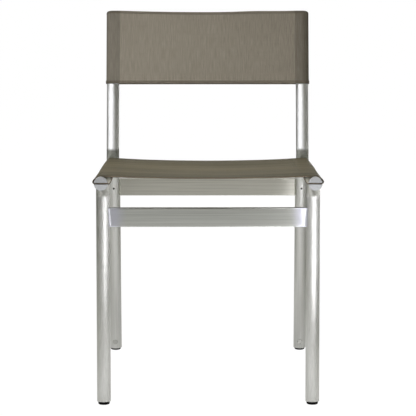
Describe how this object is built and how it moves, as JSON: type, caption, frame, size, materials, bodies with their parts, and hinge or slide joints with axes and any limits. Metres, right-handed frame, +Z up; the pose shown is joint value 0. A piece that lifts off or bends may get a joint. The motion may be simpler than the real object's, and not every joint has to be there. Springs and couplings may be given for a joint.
{
  "type": "sling patio chair",
  "caption": "Armless patio chair: round metal side frames joined by flat bars, a seat sling clamped in split rails and a back sling over leaning uprights.",
  "frame": {"origin": "centre of the chair's box, on the floor", "axes": "+Z up, -Y the front of the chair, +X to the right for a viewer standing in front of it"},
  "size_m": [0.4604, 0.5332, 0.7771],
  "materials": {
    "tube_metal": "brushed, satin",
    "rail_metal": "brushed, satin",
    "bar_metal": "brushed along its length, satin",
    "pin_metal": "satin",
    "screw_steel": "satin",
    "glide_plastic": "matt",
    "cap_plastic": "matt",
    "seat_fabric": "woven vinyl-coated mesh, matt",
    "back_fabric": "woven vinyl-coated mesh, matt"
  },
  "bodies": {
    "root": {"seat_rail_left": "rail_metal", "clamp_bar_left": "rail_metal", "clamp_screw_left_1": "screw_steel", "clamp_screw_left_2": "screw_steel", "clamp_screw_left_3": "screw_steel", "front_leg_left": "tube_metal", "rear_leg_left": "tube_metal", "front_glide_left": "glide_plastic", "rear_glide_left": "glide_plastic", "rear_bar_screw_left": "screw_steel", "rear_glide_pin_left": "pin_metal", "back_upright_left": "tube_metal", "upright_cap_left": "cap_plastic", "seat_rail_right": "rail_metal", "clamp_bar_right": "rail_metal", "clamp_screw_right_1": "screw_steel", "clamp_screw_right_2": "screw_steel", "clamp_screw_right_3": "screw_steel", "front_leg_right": "tube_metal", "rear_leg_right": "tube_metal", "front_glide_right": "glide_plastic", "rear_glide_right": "glide_plastic", "rear_bar_screw_right": "screw_steel", "rear_glide_pin_right": "pin_metal", "back_upright_right": "tube_metal", "upright_cap_right": "cap_plastic", "front_bar": "bar_metal", "rear_bar": "bar_metal", "seat_sling": "seat_fabric", "back_sling": "back_fabric"}
  },
  "joints": []
}
